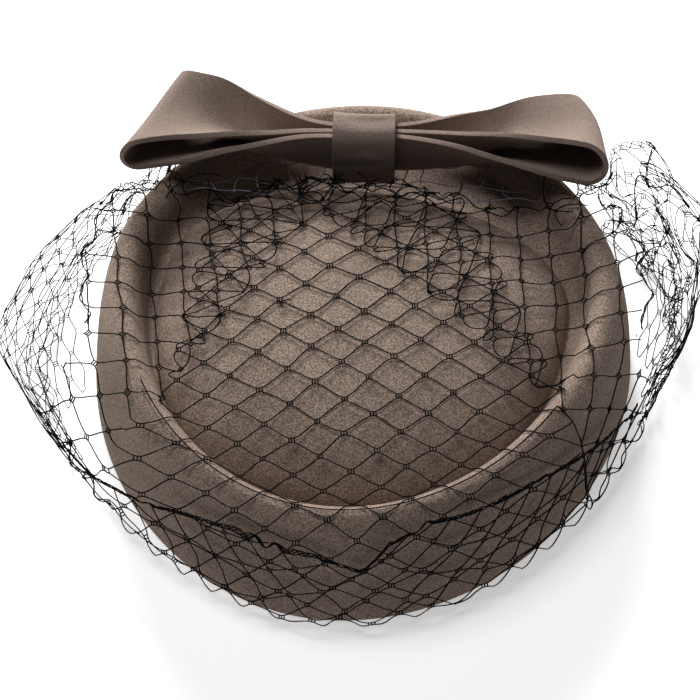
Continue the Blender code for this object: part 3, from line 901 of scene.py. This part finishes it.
def tubes(lines, radius, kept=None, sides=4):
    """Thin tubes along lines of points: rings square to each line, joined where kept says so.

    lines has the shape (number, points, 3). A ring's points are the radius times cosine and sine in the
    plane of two directions square to the line. Each run of kept joints is closed by a cap at both ends,
    and all joints are kept where kept isn't given.
    """
    along = np.gradient(lines, axis=1)
    along = along / np.maximum(np.linalg.norm(along, axis=-1, keepdims=True), 1e-9)
    rough = np.array([0.31, 0.23, 0.92])
    first = np.cross(along, rough)
    first = first / np.maximum(np.linalg.norm(first, axis=-1, keepdims=True), 1e-9)
    second = np.cross(along, first)
    turn = np.arange(sides) * 2 * math.pi / sides
    circle = np.cos(turn)[:, None] * first[..., None, :] + np.sin(turn)[:, None] * second[..., None, :]
    points = lines[..., None, :] + radius * circle
    number, steps = lines.shape[:2]
    if kept is None:
        kept = np.ones((number, steps - 1), bool)
    index = np.arange(number * steps * sides).reshape(number, steps, sides)
    here, there = index[:, :-1][kept], index[:, 1:][kept]
    sheath = np.stack([here, np.roll(here, -1, axis=1), np.roll(there, -1, axis=1), there], axis=-1)
    before = np.concatenate([np.zeros((number, 1), bool), kept], axis=1)
    after = np.concatenate([kept, np.zeros((number, 1), bool)], axis=1)
    starts, ends = index[after & ~before][:, ::-1], index[before & ~after]
    used = np.zeros(points.size // 3, bool)
    used[index[before | after].ravel()] = True
    renumbered = np.cumsum(used) - 1
    faces = [renumbered[sheath.reshape(-1, 4)], renumbered[starts], renumbered[ends]]
    return points.reshape(-1, 3)[used], np.concatenate([face for face in faces if len(face)])


def thread_wave(phase):
    """A thread's zigzag from -1 to 1: a triangle wave with its turns pressed flat over the knots."""
    saw = 2.0 * np.abs(2.0 * (phase / 2.0 - np.floor(phase / 2.0 + 0.5))) - 1.0
    flat = np.clip(saw * 1.2, -1.0, 1.0)
    return 0.55 * flat + 0.45 * np.sin(saw * math.pi / 2)


def zigzag_net(place, across, rows, cell, radius, sizes):
    """Zigzags across a net, each meeting the next at its turns, where short wraps bind the two.

    place turns ways across and down the net into points, and says which of them it covers.
    """
    (width, height), gap = cell, sizes.knot_gap
    cross = np.arange(across[0], across[1], THREAD_STEP)
    number = np.arange(*rows)
    phase = cross[None, :] / (width / 2) + number[:, None]
    down = number[:, None] * height / 2 + (height / 2 - gap) / 2 * thread_wave(phase)
    lines, covered = place(cross[None, :] + 0.0 * down, down)
    torn = np.linalg.norm(np.diff(lines, axis=1), axis=-1) > THREAD_TEAR
    threads = tubes(lines, radius, covered[:, :-1] & covered[:, 1:] & ~torn)
    # A knot stands where a thread's lower turn meets the next one's upper turn.
    cells = np.arange(int(across[0] / width) - 1, int(across[1] / width) + 1)
    odd = (2 * cells[None, :] + 1 - number[:, None] % 2) * width / 2
    knot_down = (number[:, None] + 0.5) * height / 2 + 0.0 * odd
    side = np.array([-1.0, -0.33, 0.33, 1.0]) * (gap / 2 + 0.3 * sizes.thread)
    wraps = []
    for k in (-1.0, 0.0, 1.0):
        wrap = (odd + k * sizes.wrap_gap)[..., None] + 0.0 * side
        ends, covered = place(wrap, knot_down[..., None] + side)
        wraps.append(ends[covered.all(axis=-1)])
    wraps = np.concatenate(wraps)
    wraps = wraps[np.linalg.norm(np.diff(wraps, axis=1), axis=-1).max(axis=1) < WRAP_TEAR]
    return joined([threads, tubes(wraps, radius)])


def joined(parts):
    """Several meshes' points and faces as one."""
    starts = np.cumsum([0] + [len(points) for points, _ in parts])
    faces = [face + start for (_, face), start in zip(parts, starts)]
    return np.concatenate([points for points, _ in parts]), np.concatenate(faces)


def make_threads(veil, sizes):
    """The net over the hat's top and down its front."""

    def place(cross, down):
        return veil.place(net_place(sizes, cross, down))

    cell = (sizes.cell_width, sizes.cell_height)
    return zigzag_net(place, NET_ACROSS, NET_ROWS, cell, sizes.thread / 2, sizes)


def make_wings(veil, sizes):
    """The net's loose sides, drawn out along the hat's edge and crumpled towards the bow."""
    parts = []
    for wing in (LEFT_WING, RIGHT_WING):
        length = math.radians(wing["end"] - wing["start"]) * WING_RADIUS

        def place(cross, down, wing=wing):
            return veil.wing_place(wing, cross, down)

        cell = (wing["cell_length"], wing["cell_depth"])
        rows = (0, int(veil.length.max() / (cell[1] / 2)))
        radius = sizes.thread * WING_THREAD / 2
        parts.append(zigzag_net(place, (0.0, length), rows, cell, radius, sizes))
        # The cloth's own end: threads that wind round each other down the last row of cells.
        k = np.arange(WING_EDGE["threads"])[:, None]
        down = np.arange(0.0, veil.length.max(), WING_EDGE["step"])[None, :] + 0.0 * k
        wind = WING_EDGE["wind"] * np.sin(down * WING_EDGE["waves"] + WING_EDGE["phase"] * k)
        lines, covered = place(length * WING_EDGE["place"] + wind, down)
        parts.append(tubes(lines, radius, covered[:, :-1] & covered[:, 1:]))
    return joined(parts)


def make_gathers(sizes):
    """The gathered edge, rising from the groove to the bow: threads across and up, strayed by waves."""
    start, end = GATHER_ENDS
    along = np.arange(start, end, 0.0015)

    def place(across, share):
        back = between(GATHER_ROWS, "share", "back", share)
        height = between(GATHER_ROWS, "share", "height", share)
        back = back + GATHER_WAVE * wander(across, share * 0.02, 0.045, 3.0)
        height = height + GATHER_WAVE * wander(across, share * 0.02, 0.038, 11.0)
        x = across + 0.0010 * wander(share * 0.03, across, 0.033, 6.0)
        return bow_to_hat(np.stack([x, back, height], axis=-1))

    level = np.array(GATHER_LEVELS)[:, None] + 0.0 * along
    level = level + 0.05 * wander(along[None, :] + 0.0 * level, level * 0.05, 0.03, 2.0)
    rows = place(along[None, :] + 0.0 * level, level)
    foot = np.arange(start, end, GATHER_CELL)[:, None]
    share = np.linspace(-0.1, 1.1, 14)[None, :]
    rising = place(foot + 0.0022 * np.sin(foot * 400.0 + 2.2 * share), share + 0.0 * foot)
    return joined([tubes(lines, sizes.thread / 2) for lines in (rows, rising)])


def make_tufts(sizes):
    """Loose ends in tufts: curved threads from one spot, spread by the golden angle.

    Their reach, turn and height stray by sines of their number.
    """
    parts = []
    for tuft in TUFTS:
        k = np.arange(tuft["ends"])[:, None]
        share = np.linspace(0.0, 1.0, 9)[None, :]
        reach = tuft["length"] * (0.55 + 0.45 * np.sin(k * 4.7)) * share
        turn = k * GOLDEN_ANGLE + 0.9 * np.sin(k * 1.3) * share
        height = tuft["height"] + 0.35 * reach * np.sin(k * 2.1) + 0.1 * reach
        x, y = tuft["x"] + reach * np.cos(turn), tuft["y"] + reach * np.sin(turn)
        parts.append(tubes(np.stack([x, y, height], axis=-1), sizes.thread / 2))
    return joined(parts)


def add_net_piece(name, points, faces, finish):
    """One piece of the net, which has part in taking the frame's veil's place."""
    piece = make_mesh(name, points + hat_middle(), faces)
    piece.data.materials.append(finish)
    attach(piece, "root")
    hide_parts("veil")


def make_selvedge(veil, sizes):
    """The net's finished edge: threads that wind round each other along it, tangled at the front.

    At the loose sides the edge runs along the end of the net on top.
    """
    parts = []
    for run in SELVEDGE_RUNS:
        azimuth = np.radians(np.arange(run["start"], run["end"], SELVEDGE_STEP))
        end = np.interp(azimuth, veil.azimuth, veil.length)
        if run["loose"]:
            end = rim_reach(azimuth) + SELVEDGE_PAST
        off = (np.degrees(azimuth) + TANGLE["angle"]) / TANGLE["spread"]
        width = WIND_WIDTH + TANGLE["width"] * np.exp(-(off**2))
        lines = []
        for phase in SELVEDGE_PHASES[: run["threads"]]:
            angle = azimuth * (70.0 + 9.0 * phase) + phase
            line = veil.wall_place(azimuth, end - SELVEDGE_IN + width * np.sin(angle))
            line[:, 2] += width * np.cos(angle)
            lines.append(line)
        parts.append(tubes(np.array(lines), sizes.thread / 2))
    return joined(parts)


def make_net(sizes, colours):
    """The veil in its four pieces."""
    veil = Veil(sizes)
    finish = net_material("net_thread", colours.net)
    add_net_piece("net_threads", *make_threads(veil, sizes), finish)
    add_net_piece("net_wings", *make_wings(veil, sizes), finish)
    # The gathered edge is the same dyed thread, painted lighter: a painted highlight for the light it
    # catches in the shadow under the bow.
    painted_light_finish = net_material("net_thread_painted_light", colours.net_painted_light)
    add_net_piece("net_gathers", *make_gathers(sizes), painted_light_finish)
    add_net_piece("net_selvedge", *joined([make_selvedge(veil, sizes), make_tufts(sizes)]), finish)


def camera_direction():
    """From the hat to the camera."""
    across, along = math.sin(CAMERA_AZIMUTH), -math.cos(CAMERA_AZIMUTH)
    flat = math.cos(CAMERA_ELEVATION)
    return Vector((across * flat, along * flat, math.sin(CAMERA_ELEVATION)))


def make_camera():
    """The photo's own view."""
    target = Vector(CAMERA_TARGET) + Vector(hat_middle())
    data = bpy.data.cameras.new("camera")
    data.lens = CAMERA_LENS
    data.sensor_width = CAMERA_SENSOR
    camera = add_object("camera", data)
    camera.location = target + camera_direction() * CAMERA_DISTANCE
    camera.rotation_euler = camera_direction().to_track_quat("Z", "Y").to_euler()
    bpy.context.scene.camera = camera


def make_lamp(name, place, size, power):
    """A round soft lamp that shines at the hat."""
    data = bpy.data.lights.new(name, "AREA")
    data.shape = "DISK"
    data.size = size
    data.energy = power
    lamp = add_object(name, data)
    lamp.location = place
    lamp.rotation_euler = Vector(place).to_track_quat("Z", "Y").to_euler()


def make_floor(colours):
    """White paper, overexposed as in a catalogue picture, so that only a faint shadow stays."""
    mesh = bpy.data.meshes.new("floor")
    corners = [(x * FLOOR_HALF, y * FLOOR_HALF, 0) for x, y in ((-1, -1), (1, -1), (1, 1), (-1, 1))]
    mesh.from_pydata(corners, [], [(0, 1, 2, 3)])
    floor = add_object("floor", mesh)
    floor.location.z = -FLOOR_DROP
    made, shader = new_material("white_paper")
    fill(shader, {
        "Base Color": (*colours.floor, 1.0),
        "Roughness": 0.9,
        "Specular IOR Level": 0.0,
        "Emission Color": (1.0, 1.0, 1.0, 1.0),
        "Emission Strength": FLOOR_GLOW,
    })
    mesh.materials.append(made)


def make_room():
    """A white room's faint light from all round, and the view's tone."""
    scene = bpy.context.scene
    scene.world = bpy.data.worlds.new("studio")
    scene.world.use_nodes = True
    background = scene.world.node_tree.nodes["Background"]
    fill(background, {"Color": (1.0, 1.0, 1.0, 1.0), "Strength": ROOM_LIGHT})
    scene.view_settings.view_transform = "Standard"
    # The photo's shadows are deeper than soft light leaves them.
    scene.view_settings.exposure = EXPOSURE
    scene.view_settings.gamma = GAMMA


def size(name, description, default, subtype="DISTANCE"):
    """A size as a property, in metres, or an angle."""
    return FloatProperty(name=name, description=description, default=default, subtype=subtype)


def shade(name, description, code):
    """A colour as a property, given as sRGB in hex."""
    values = linear(code)
    return FloatVectorProperty(name=name, description=description, default=values, subtype="COLOR")


class HatSizes(bpy.types.PropertyGroup):
    """The hat's sizes"""

    hat_felt: size("Hat felt", "Thickness of the hat's felt", 0.0024)
    bow_felt: size("Bow felt", "Thickness of the bow's felt", 0.0020)
    unevenness: size("Unevenness", "How far the blocked felt strays", 0.0002)
    cell_width: size("Cell width", "Width of a net diamond", 0.0190)
    cell_height: size("Cell height", "Height of a net diamond, down the net", 0.0142)
    knot_gap: size("Knot gap", "Between the two threads of a knot", 0.0016)
    wrap_gap: size("Wrap gap", "Between the wraps of a knot", 0.0009)
    thread: size("Thread", "Thickness of the net's thread", 0.00050)
    net_lift: size("Net lift", "Net's height over the felt", 0.0007)
    net_slack: size("Net slack", "How far the cells stray", 0.0008)
    net_turn: size("Net turn", "Turn of the net's rows", math.radians(14.5), "ANGLE")
    veil_dip: size("Veil dip", "Sag of the net over the groove", 0.0040)
    fold_round: size("Fold round", "Reach of a fold's roundness", 0.0030)
    layer_gap: size("Layer gap", "Between the net's layers in a dart", 0.0014)


class HatColours(bpy.types.PropertyGroup):
    """The hat's colours and the paper's"""

    hat_dark: shade("Hat dark", "Felt between fibres", "74675F")
    hat_light: shade("Hat light", "Felt's fibres", "BDAA9C")
    bow_dark: shade("Bow dark", "Felt between fibres", "8B7C74")
    bow_light: shade("Bow light", "Felt's fibres", "A49389")
    # Painted highlight: the same dyed thread, painted light grey where it catches light in the shadow
    # under the bow.
    net_painted_light: shade("Net painted light", "Thread of the gathered edge, where light falls on it", "8F94A1")
    net: shade("Net", "Dyed thread", "050507")
    floor: shade("Floor", "Paper under the hat", "EDEDED")


class HAT_OT_felt_body(bpy.types.Operator):
    """Build the blocked felt hat"""

    bl_idname = "hat.felt_body"
    bl_label = "Felt Body"

    def execute(self, context):
        make_felt_body(context.scene.hat_sizes, context.scene.hat_colours)
        return {"FINISHED"}


class HAT_OT_bow(bpy.types.Operator):
    """Build the bow's loops and the band round its knot"""

    bl_idname = "hat.bow"
    bl_label = "Bow"

    def execute(self, context):
        make_bow_loops(context.scene.hat_sizes, context.scene.hat_colours)
        make_bow_band(context.scene.hat_sizes)
        return {"FINISHED"}


class HAT_OT_veil(bpy.types.Operator):
    """Build the net veil"""

    bl_idname = "hat.veil"
    bl_label = "Veil"

    def execute(self, context):
        make_net(context.scene.hat_sizes, context.scene.hat_colours)
        return {"FINISHED"}


class HAT_OT_stage(bpy.types.Operator):
    """Set up the floor, the lamps and the camera"""

    bl_idname = "hat.stage"
    bl_label = "Stage"

    def execute(self, context):
        make_floor(context.scene.hat_colours)
        for lamp in LAMPS:
            make_lamp(**lamp)
        make_camera()
        make_room()
        return {"FINISHED"}


class HAT_PT_panel(bpy.types.Panel):
    """The hat's sizes, colours and steps, in the 3D view's sidebar"""

    bl_label = "Pillbox Hat"
    bl_idname = "HAT_PT_panel"
    bl_space_type = "VIEW_3D"
    bl_region_type = "UI"
    bl_category = "Hat"

    def draw(self, context):
        for group in (context.scene.hat_sizes, context.scene.hat_colours):
            rows = self.layout.column()
            for name in group.__annotations__:
                rows.prop(group, name)
        for operator in (HAT_OT_felt_body, HAT_OT_bow, HAT_OT_veil, HAT_OT_stage):
            self.layout.operator(operator.bl_idname)


CLASSES = (HatSizes, HatColours, HAT_OT_felt_body, HAT_OT_bow, HAT_OT_veil, HAT_OT_stage, HAT_PT_panel)


def register():
    """Adds the hat's classes and its settings to Blender."""
    for item in CLASSES:
        bpy.utils.register_class(item)
    bpy.types.Scene.hat_sizes = PointerProperty(type=HatSizes)
    bpy.types.Scene.hat_colours = PointerProperty(type=HatColours)


def unregister():
    """Takes them out again."""
    del bpy.types.Scene.hat_colours
    del bpy.types.Scene.hat_sizes
    for item in reversed(CLASSES):
        bpy.utils.unregister_class(item)


def main():
    """Builds the whole hat and its stage."""
    register()
    bpy.ops.hat.felt_body()
    bpy.ops.hat.bow()
    bpy.ops.hat.veil()
    bpy.ops.hat.stage()


if __name__ == "__main__":
    main()
